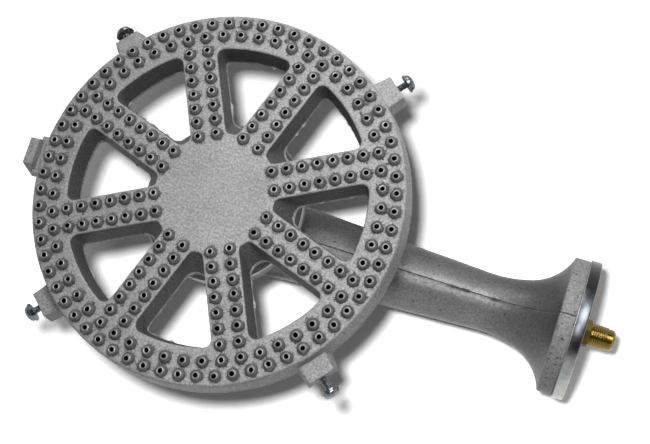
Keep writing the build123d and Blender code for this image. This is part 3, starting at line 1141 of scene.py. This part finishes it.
def screw_shell(place):
    """Lug screw: domed head and a threaded shank, with the head's seat at the local origin."""
    shell = Shell()
    rim = screw_head_rim
    profile = [(0.0, 0.0), (0.0, screw_head_radius - screw_head_edge), (screw_head_edge, screw_head_radius)]
    profile.append((rim, screw_head_radius))
    for share in (0.2, 0.4, 0.6, 0.75, 0.87):
        c, s = polar(1.0, share * 90)
        profile.append((rim + (screw_head_height - rim) * s, screw_head_radius * c**screw_dome_power))
    cap_level, cap_radius = profile[-1]
    for share in (0.66, 0.33, 0.0):
        profile.append((cap_level + (screw_head_height - cap_level) * (1 - share**2), cap_radius * share))
    lathe(shell, profile, place, sides=64)
    root = screw_radius - screw_thread_depth
    thread_end = screw_point - screw_length
    lathe(shell, [(0.0, root), (-screw_neck, root)], place, sides=40)
    thread(shell, thread_end, -screw_neck, screw_radius, screw_thread_depth, screw_pitch, place, 40, 6)
    tip = [(thread_end, root), (-screw_length, screw_point_radius), (-screw_length, 0.0)]
    lathe(shell, tip, place, sides=40)
    return shell


def cut_slot(piece, place):
    """Cut the driver's slot across a screw's head."""
    reach = screw_head_radius + slot_overrun
    low, high = screw_head_height - slot_depth, screw_head_height + slot_overrun
    corners = []
    for x in (-reach, reach):
        for y in (-slot_width / 2, slot_width / 2):
            corners += [place @ Vector((x, y, z)) * MM for z in (low, high)]
    faces = [(0, 1, 3, 2), (4, 6, 7, 5), (0, 4, 5, 1), (2, 3, 7, 6), (0, 2, 6, 4), (1, 5, 7, 3)]
    mesh = bpy.data.meshes.new("slot_cutter")
    mesh.from_pydata(corners, [], faces)
    cutter = new_object("slot_cutter", mesh)
    cut = piece.modifiers.new("slot", "BOOLEAN")
    cut.object = cutter
    cut.operation = "DIFFERENCE"
    cut.solver = "EXACT"
    bpy.context.view_layer.update()
    result = bpy.data.meshes.new_from_object(piece.evaluated_get(bpy.context.evaluated_depsgraph_get()))
    piece.modifiers.clear()
    piece.data = result
    bpy.data.objects.remove(cutter)


def washer_shell(place, inner, outer, thickness, edge=washer_edge):
    """Flat washer with softened edges, standing on the local origin."""
    shell = Shell()
    high = thickness
    profile = [(edge, inner), (0.0, inner + edge), (0.0, outer - edge), (edge, outer), (high - edge, outer)]
    profile += [(high, outer - edge), (high, inner + edge), (high - edge, inner), (edge, inner)]
    lathe(shell, profile, place, sides=56)
    return shell


def colour(value):
    """Colour of a grey level or of three parts, with its alpha."""
    if isinstance(value, (int, float)):
        return (value, value, value, 1.0)
    return (*value, 1.0)


def plug(tree, socket, value):
    """Link an input to another node's output, or set its own value."""
    if isinstance(value, bpy.types.NodeSocket):
        tree.links.new(value, socket)
    elif socket.type == "RGBA":
        socket.default_value = colour(value)
    else:
        socket.default_value = value


def add_node(tree, kind, inputs, **settings):
    """New node with its settings made and its inputs linked or set."""
    node = tree.nodes.new(kind)
    for name, value in settings.items():
        setattr(node, name, value)
    for key, value in inputs.items():
        plug(tree, node.inputs[key], value)
    return node


def add_ramp(tree, factor, stops):
    """Colour ramp through (position, colour) stops."""
    node = add_node(tree, "ShaderNodeValToRGB", {"Fac": factor})
    elements = node.color_ramp.elements
    for element, (position, value) in zip(elements, (stops[0], stops[-1])):
        element.position = position
        element.color = colour(value)
    for position, value in stops[1:-1]:
        elements.new(position).color = colour(value)
    return node.outputs["Color"]


class Finish:
    """A material and short ways to wire its nodes."""

    def __init__(self, name):
        self.material = bpy.data.materials.new(name)
        self.material.use_nodes = True
        self.tree = self.material.node_tree
        self.place = self.tree.nodes.new("ShaderNodeTexCoord").outputs["Object"]

    def noise(self, scale, detail, roughness=0.6, distortion=0.0):
        inputs = {"Vector": self.place, "Scale": scale, "Detail": detail}
        inputs.update({"Roughness": roughness, "Distortion": distortion})
        return add_node(self.tree, "ShaderNodeTexNoise", inputs).outputs["Fac"]

    def ramp(self, factor, stops):
        return add_ramp(self.tree, factor, stops)

    def across(self, axis, low, high, stops):
        """Colour that changes along an axis of the object, between two places in millimetres."""
        parts = add_node(self.tree, "ShaderNodeSeparateXYZ", {0: self.place})
        inputs = {"From Min": low * MM, "From Max": high * MM, "Value": parts.outputs[axis]}
        return self.ramp(add_node(self.tree, "ShaderNodeMapRange", inputs).outputs["Result"], stops)

    def mix(self, factor, first, second, kind="MIX"):
        inputs = {"Factor": factor, 6: first, 7: second}
        return add_node(self.tree, "ShaderNodeMix", inputs, data_type="RGBA", blend_type=kind).outputs[2]

    def bump(self, height, strength, distance, **under):
        inputs = {"Strength": strength, "Distance": distance * MM, "Height": height, **under}
        return add_node(self.tree, "ShaderNodeBump", inputs).outputs["Normal"]

    def shade(self, inputs):
        """Set or link the shader's inputs, and give the finished material."""
        shader = self.tree.nodes["Principled BSDF"]
        for key, value in inputs.items():
            plug(self.tree, shader.inputs[key], value)
        return self.material


def cast_iron(name, tones, metal, dullness, pits, relief=0.5, painted_shades=()):
    """Blasted casting: grey grain in three tones with broad clouds, dark pinholes and a dull sheen, darkened
    by any ramps of painted shade given.
    """
    finish = Finish(name)
    dark, middle, light = tones
    grain = finish.noise(650.0, 4.0, 0.62)
    speck = finish.noise(2400.0, 2.0)
    clouds = finish.ramp(finish.noise(45.0, 3.0), [(0.3, 0.42), (0.7, 0.58)])
    grey = finish.ramp(grain, [(0.32, dark), (0.5, middle), (0.68, light)])
    mottled = finish.mix(0.6, grey, clouds, "OVERLAY")
    pinholes = finish.ramp(finish.noise(330.0, 3.0), [(pits, 0.0), (pits + 0.05, 0.8)])
    base = finish.mix(pinholes, mottled, 0.015)
    # Each ramp of painted shade darkens the colour along its axis
    for fade in painted_shades:
        base = finish.mix(1.0, base, finish.across(*fade), "MULTIPLY")
    coarse = finish.bump(grain, relief, 0.3)
    skin = finish.bump(speck, 0.6 * relief, 0.1, Normal=coarse)
    rough = finish.ramp(grain, [(0.25, dullness + 0.08), (0.75, dullness - 0.06)])
    inputs = {"Base Color": base, "Metallic": metal, "Roughness": rough, "Normal": skin}
    return finish.shade({**inputs, "Specular IOR Level": 0.3})


def plain_metal(name, dark, light, dullness, streak, metal=1.0):
    """Turned or plated metal: faint streaks and stains over a clear reflection."""
    finish = Finish(name)
    stain = finish.noise(120.0, 4.0, distortion=0.4)
    scratch = finish.noise(streak, 3.0)
    base = finish.ramp(stain, [(0.25, dark), (0.7, light)])
    rough = finish.ramp(stain, [(0.2, dullness - 0.06), (0.8, dullness + 0.08)])
    skin = finish.bump(scratch, 0.12, 0.05)
    return finish.shade({"Base Color": base, "Metallic": metal, "Roughness": rough, "Normal": skin})


def zinc_painted_reflections(name):
    """Zinc plate of the shutter, with painted reflection across it: bright on its -Y side and dark in bands
    towards +Y.
    """
    finish = Finish(name)
    # Painted reflection: bands of light and dark along Y
    stops = [(0.0, (0.28, 0.285, 0.28)), (0.2, (0.24, 0.245, 0.24)), (0.33, (0.08, 0.08, 0.08))]
    stops += [(0.44, (0.085, 0.093, 0.1)), (0.6, (0.12, 0.13, 0.142))]
    stops += [(0.72, (0.03, 0.031, 0.031)), (1.0, (0.05, 0.05, 0.05))]
    tone = finish.across("Y", -shutter_radius, shutter_radius, stops)
    stain = finish.noise(120.0, 4.0, distortion=0.4)
    # The painted reflection, mottled by stains
    worn = finish.mix(0.35, tone, finish.ramp(stain, [(0.3, 0.12), (0.7, 0.85)]), "OVERLAY")
    rough = finish.ramp(stain, [(0.2, 0.24), (0.8, 0.38)])
    skin = finish.bump(finish.noise(700.0, 3.0), 0.12, 0.05)
    return finish.shade({"Base Color": worn, "Metallic": 1.0, "Roughness": rough, "Normal": skin})


def soft_black(name, dark, light, dullness):
    """Dark surface with a little variation: painted shade for the bores, and the gasket's own black."""
    finish = Finish(name)
    stain = finish.noise(300.0, 3.0)
    base = finish.ramp(stain, [(0.3, dark), (0.7, light)])
    skin = finish.bump(stain, 0.2, 0.1)
    inputs = {"Base Color": base, "Metallic": 0.0, "Roughness": dullness, "Normal": skin}
    return finish.shade({**inputs, "Specular IOR Level": 0.1})


# Iron that darkens across the object as painted shade: axis, two places in millimetres, and the tone at
# shares between them
# Painted shade: the head's iron darker towards -X
head_left_shade = ("X", -head_radius, head_radius, [(0.0, 0.78), (0.5, 1.0), (1.0, 1.0)])
# Painted shade: the walls darker deeper down, towards the underside
wall_bottom_shade = ("Z", head_bottom, head_top, [(0.0, 0.7), (0.5, 0.8), (1.0, 1.0)])
# Painted shade: the tube's iron darker along the bell's flare
bell_hollow_shade = ("X", taper_end, flare_end, [(0.0, 1.0), (0.6, 0.58), (1.0, 0.52)])
# Painted shade: the tube's iron darker towards its +Y side
tube_far_side_shade = ("Y", 0.0, 22.0, [(0.0, 1.0), (0.35, 0.78), (0.8, 0.45), (1.0, 0.42)])

iron_top = cast_iron("head_cast_iron", (0.20, 0.31, 0.44), 0.1, 0.6, 0.70, 0.5, [head_left_shade])
# Iron with painted shade, far darker than the top: for the window walls, the nipples' feet, the hub's flare,
# the mouth's inside and the seam's dark line
iron_painted_shade = cast_iron("painted_shade_cast_iron", (0.056, 0.085, 0.12), 0.1, 0.6, 0.72, 0.6, [wall_bottom_shade])
# Nipple iron: darker than the top, partly its own tone and partly painted shade on the steep sides
iron_nipple_part_shade = cast_iron("nipple_cast_iron_part_shade", (0.062, 0.108, 0.16), 0.1, 0.6, 0.74, 0.8, [head_left_shade])
# Iron with painted shade for the ring round the ports' feet
iron_foot_shade = cast_iron("foot_shade_cast_iron", (0.12, 0.2, 0.3), 0.1, 0.6, 0.60, 0.7, [head_left_shade])
iron_tube = cast_iron("venturi_cast_iron", (0.13, 0.18, 0.23), 0.4, 0.42, 0.66, 0.4, [bell_hollow_shade, tube_far_side_shade])
iron_rim = cast_iron("rim_cast_iron", (0.16, 0.24, 0.32), 0.1, 0.55, 0.62)
machined = plain_metal("machined_iron", 0.34, 0.52, 0.42, 900.0, 0.6)
crown = plain_metal("port_crown", 0.15, 0.30, 0.42, 900.0, 0.65)
# Painted shade: near black for the ports' holes, the fitting's bore and the disc that closes the mouth at the
# throat
bore_shade_black = soft_black("painted_bore_shade", 0.001, 0.004, 0.9)
zinc = plain_metal("zinc_plate", (0.03, 0.031, 0.031), (0.22, 0.235, 0.255), 0.24, 700.0)
shutter_zinc = zinc_painted_reflections("shutter_zinc")
bolt_steel = plain_metal("bolt_steel", (0.24, 0.24, 0.25), (0.36, 0.36, 0.37), 0.4, 700.0)
brass = plain_metal("turned_brass", (0.105, 0.07, 0.013), (0.2, 0.135, 0.035), 0.24, 900.0)
gasket_black = soft_black("gasket_sheet", 0.012, 0.022, 0.85)


def fit(piece, body, node):
    """Seat a piece on its body in the place of a CAD node."""
    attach(piece, body)
    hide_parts(node)


def dress(node, material):
    """Give a CAD node its finish."""
    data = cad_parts[node].data
    data.materials.clear()
    data.materials.append(material)
    data.shade_smooth()
    data.set_sharp_from_angle(angle=math.radians(cad_sharp_angle))


# Castings
head_materials = [iron_top, iron_nipple_part_shade, machined, bore_shade_black, iron_painted_shade, crown, iron_foot_shade]
head_piece = head_shell().piece("burner_head_casting", head_materials, cast_grain)
fit(head_piece, "burner", "burner_head")
venturi_materials = [iron_tube, iron_rim, machined, bore_shade_black, iron_painted_shade]
venturi_piece = venturi_shell().piece("venturi_casting", venturi_materials, cast_grain)
fit(venturi_piece, "burner", "venturi")
face_plate = Shell()
ported_disc(face_plate, plate_rings, plate_face, tube_place())
plate_piece = face_plate.piece("venturi_face_plate", [iron_rim])
thicken(plate_piece, plate_thickness, plate_edge)
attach(plate_piece, "burner")

# Shutter, its spring washer and the gas inlet
shutter_piece = shutter_shell().piece("air_shutter_cap", [shutter_zinc])
thicken(shutter_piece, shutter_wall, shutter_edge)
fit(shutter_piece, "air_shutter", "air_shutter")
spring_bore = shoulder_radius + washer_bore_gap
spring = washer_shell(tube_place(spring_low.x), spring_bore, spring_washer_radius, spring_washer_thickness)
spring_piece = spring.piece("shutter_spring_ring", [bolt_steel])
fit(spring_piece, "burner", "shutter_spring_washer")
fitting_piece = fitting_shell().piece("gas_inlet_brass", [brass, bore_shade_black])
fit(fitting_piece, "burner", "gas_inlet_fitting")

# Lug screws and their washers
washer_bore = screw_radius + washer_bore_gap
for number in range(1, lug_count + 1):
    turn = lug_turns[number - 1]
    seat = lug_reach + screw_standoffs[number - 1]
    washer_place = radial_place(turn, seat, screw_axis_height)
    washer = washer_shell(washer_place, washer_bore, lug_washer_radius, lug_washer_thickness - washer_room)
    washer_piece = washer.piece(f"lug_washer_ring_{number}", [zinc])
    fit(washer_piece, f"lug_washer_{number}", f"lug_washer_{number}")
    slot_turn = Matrix.Rotation(math.radians(screw_slot_turns[number - 1]), 4, "Z")
    head_place = radial_place(turn, seat + lug_washer_thickness, screw_axis_height) @ slot_turn
    screw_piece = screw_shell(head_place).piece(f"lug_screw_zinc_{number}", [zinc])
    cut_slot(screw_piece, head_place)
    fit(screw_piece, f"lug_screw_{number}", f"lug_screw_{number}")

# Bolts and lock washers under the flange
lock_thickness = bolt_washer_high.z - bolt_washer_low.z
shank = [(0.0, bolt_radius), (bolt_length - bolt_point, bolt_radius)]
shank += [(bolt_length, bolt_point_radius), (bolt_length, 0.0)]
for number in range(1, bolt_count + 1):
    angle = (number - 0.5) * 360 / bolt_count
    place = Matrix.Translation((*polar(bolt_circle, angle), bolt_washer_low.z))
    ring = washer_shell(place, bolt_washer_bore, bolt_washer_radius, lock_thickness, bolt_washer_edge)
    ring_piece = ring.piece(f"flange_lock_ring_{number}", [bolt_steel])
    fit(ring_piece, "burner", f"flange_lock_washer_{number}")
    bolt = Shell()
    down = place @ Matrix.Rotation(math.pi, 4, "X") @ Matrix.Rotation(math.radians(-angle), 4, "Z")
    hexagon(bolt, bolt_hex_across / 2, 0.0, bolt_head_height, down, bolt_chamfer)
    lathe(bolt, shank, place, sides=32)
    bolt_piece = bolt.piece(f"flange_bolt_steel_{number}", [bolt_steel])
    fit(bolt_piece, "burner", f"flange_bolt_{number}")

# CAD nodes that stay
dress("hub_gasket", gasket_black)
dress("orifice_jet", brass)

# Floor in metres: its middle and its gap under the object, how far from its middle the glow starts and is
# full, its flat radius, the radius of its curve and the height of its wall
floor_middle = (0.043, 0.032)
floor_gap = 0.0005
floor_glow_start = 0.17
floor_glow_end = 0.5
floor_radius = 2.4
floor_curve = 0.8
floor_wall = 2.6
floor_sides = 72


def backdrop_material():
    """Pale floor, white where the camera, mirrors and glass see it, with the object's shadow. It glows away
    from the object, where the lamps' light falls off."""
    material = bpy.data.materials.new("pale_floor")
    material.use_nodes = True
    tree = material.node_tree
    tree.nodes.clear()
    path = add_node(tree, "ShaderNodeLightPath", {}).outputs
    rays = {0: path["Is Camera Ray"], 1: path["Is Glossy Ray"]}
    direct = add_node(tree, "ShaderNodeMath", rays, operation="MAXIMUM")
    rays = {0: direct.outputs[0], 1: path["Is Transmission Ray"]}
    seen = add_node(tree, "ShaderNodeMath", rays, operation="MAXIMUM")
    place = add_node(tree, "ShaderNodeTexCoord", {}).outputs["Object"]
    spread = add_node(tree, "ShaderNodeMapping", {"Vector": place, "Scale": (1 / floor_glow_end,) * 3})
    near = add_node(tree, "ShaderNodeTexGradient", {"Vector": spread.outputs[0]}, gradient_type="SPHERICAL")
    fade = add_ramp(tree, near.outputs["Fac"], [(0.0, 1.0), (1 - floor_glow_start / floor_glow_end, 0.0)])
    glow = add_node(tree, "ShaderNodeEmission", {"Color": fade})
    pale = add_node(tree, "ShaderNodeBsdfDiffuse", {"Color": 1.5})
    white = add_node(tree, "ShaderNodeAddShader", {0: pale.outputs[0], 1: glow.outputs[0]})
    bounce = add_node(tree, "ShaderNodeBsdfDiffuse", {"Color": 0.5})
    sides = {0: seen.outputs[0], 1: bounce.outputs[0], 2: white.outputs[0]}
    choose = add_node(tree, "ShaderNodeMixShader", sides)
    add_node(tree, "ShaderNodeOutputMaterial", {"Surface": choose.outputs[0]})
    return material


def backdrop():
    """Round floor under the object that curves up into a wall all round."""
    profile = [(0.0, 0.0), (0.5, 0.0), (1.5, 0.0), (floor_radius, 0.0)]
    for degrees in range(10, 91, 10):
        below, reach = polar(floor_curve, degrees)
        profile.append((floor_radius + reach, floor_curve - below))
    profile.append((floor_radius + floor_curve, floor_wall))
    rows = [[(*spot, height) for spot in circle(radius, floor_sides)] for radius, height in profile]
    points, faces = strip(rows)
    mesh = bpy.data.meshes.new("floor")
    mesh.from_pydata(points, [], faces)
    mesh.shade_smooth()
    mesh.materials.append(backdrop_material())
    made = new_object("floor", mesh)
    made.location = (*floor_middle, cad_low.z - floor_gap)
    return made


floor = backdrop()

# Camera at the photograph's angle, in metres: a focal length of about 992 pixels on a frame of 650
camera_place = Vector((0.2223, -0.1216, 0.6226))
camera_turn = Euler((math.radians(15.129), math.radians(9.0375), math.radians(19.344)), "XYZ")
focal_pixels = 991.98
frame_pixels = 650
camera_data = bpy.data.cameras.new("camera")
camera_data.sensor_width = 36.0
camera_data.lens = camera_data.sensor_width * focal_pixels / frame_pixels
camera_data.clip_start = 0.01
camera = new_object("camera", camera_data)
camera.location = camera_place
camera.rotation_euler = camera_turn
bpy.context.scene.camera = camera

# Lamps in metres and watts
lamp_aim = Vector((0.03, 0.0, 0.0))
key_size = 0.066


def area_light(name, place, size, power):
    """Round soft lamp that the camera doesn't see."""
    data = bpy.data.lights.new(name, "AREA")
    data.shape = "DISK"
    data.size = size
    data.energy = power
    lamp = new_object(name, data)
    lamp.location = place
    lamp.rotation_euler = (lamp_aim - Vector(place)).to_track_quat("-Z", "Y").to_euler()
    lamp.visible_camera = False
    return lamp


def link_floor(lamp, name, state):
    """Let a lamp light the floor alone, with state INCLUDE, or all but the floor, with EXCLUDE."""
    group = bpy.data.collections.new(name)
    group.objects.link(floor)
    group.collection_objects[0].light_linking.link_state = state
    lamp.light_linking.receiver_collection = group


# Two key lights beside the camera, a little up and to the left, so that shadows fall to the lower right: one
# for all, and one that brings only the floor up to white. The two larger lamps light all but the floor
key_place = camera_place + camera_turn.to_matrix() @ Vector((-0.050, 0.056, 0.0))
area_light("key", key_place, key_size, 1.2)
link_floor(area_light("floor_key", key_place, key_size, 3.8), "floor_key_on", "INCLUDE")
link_floor(area_light("top", (-0.13, 0.59, 0.50), 0.30, 1.85), "top_off", "EXCLUDE")
link_floor(area_light("soft", (0.24, 0.23, 0.72), 0.36, 4.6), "soft_off", "EXCLUDE")

world = bpy.data.worlds.new("studio")
bpy.context.scene.world = world
world.use_nodes = True
sky = world.node_tree.nodes["Background"]
sky.inputs["Color"].default_value = colour(1.0)
sky.inputs["Strength"].default_value = 0.1

bpy.context.scene.view_settings.view_transform = "Standard"
